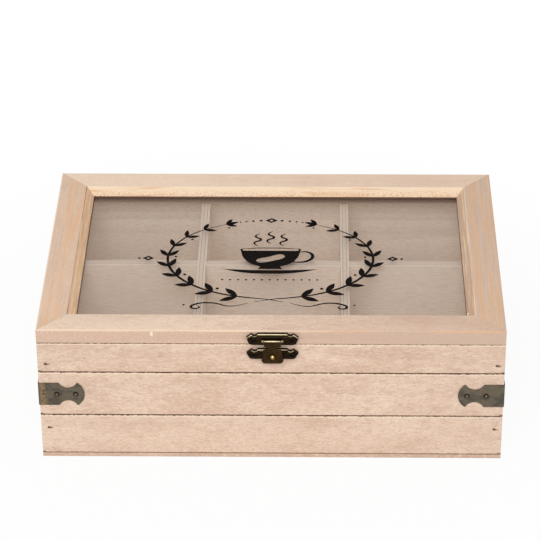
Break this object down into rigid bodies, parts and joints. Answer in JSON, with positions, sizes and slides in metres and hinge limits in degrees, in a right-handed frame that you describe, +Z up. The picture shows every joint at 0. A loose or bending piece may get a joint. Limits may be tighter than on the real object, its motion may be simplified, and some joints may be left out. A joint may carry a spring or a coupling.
{
  "type": "tea bag organizer box",
  "caption": "Slatted wooden tea box with a divided inside, a hinged lid that frames a glass window, corner straps and a front drop-tongue latch.",
  "frame": {"origin": "middle of the flat underside of the box, on the surface that it stands on", "axes": "+X to the right seen from the latch side, +Y to the back where the hinges are, +Z up"},
  "size_m": [0.241, 0.1694, 0.079],
  "materials": {
    "pale_wood": "unvarnished, whitewashed pinkish softwood with fine grain along each board",
    "divider_wood": "bare plywood, three plies at the edges",
    "pewter": "dull antique pewter, slightly mottled",
    "bronze": "antique bronze, worn bright along the edges",
    "brass": "polished",
    "steel": "plain",
    "glass": "clear"
  },
  "bodies": {
    "box": {"bottom_board": "pale_wood", "front_slat_bottom": "pale_wood", "front_slat_middle": "pale_wood", "front_slat_top": "pale_wood", "back_slat_bottom": "pale_wood", "back_slat_middle": "pale_wood", "back_slat_top": "pale_wood", "left_slat_bottom": "pale_wood", "left_slat_middle": "pale_wood", "left_slat_top": "pale_wood", "right_slat_bottom": "pale_wood", "right_slat_middle": "pale_wood", "right_slat_top": "pale_wood", "long_divider": "divider_wood", "cross_divider_left": "divider_wood", "cross_divider_right": "divider_wood", "wall_nails": "steel", "bottom_nails": "steel", "corner_strap_front_left": "pewter", "corner_strap_front_right": "pewter", "corner_strap_back_left": "pewter", "corner_strap_back_right": "pewter", "strap_pins": "steel", "latch_keeper_plate": "bronze", "latch_stud": "brass", "latch_keeper_screws": "bronze", "hinge_box_leaf_left": "bronze", "hinge_box_leaf_right": "bronze", "hinge_box_screws": "bronze", "hinge_pin_left": "bronze", "hinge_pin_right": "bronze"},
    "lid": {"lid_rail_front": "pale_wood", "lid_rail_back": "pale_wood", "lid_rail_left": "pale_wood", "lid_rail_right": "pale_wood", "lid_nails": "steel", "glass_pane": "glass", "hinge_lid_leaf_left": "bronze", "hinge_lid_leaf_right": "bronze", "hinge_lid_screws": "bronze", "latch_lid_plate": "bronze", "latch_pin": "brass", "latch_lid_screws": "bronze"},
    "latch_tongue": {"latch_tongue": "bronze"}
  },
  "joints": [
    {"name": "lid_hinge", "type": "hinge", "parent": "box", "child": "lid", "pos_m": [0, 0.0827, 0.071], "axis": [-1, 0, 0], "range_deg": [0, 180]},
    {"name": "latch_pivot", "type": "hinge", "parent": "lid", "child": "latch_tongue", "pos_m": [0.0009, -0.08275, 0.0736], "axis": [-1, 0, 0], "range_deg": [0, 130]}
  ]
}
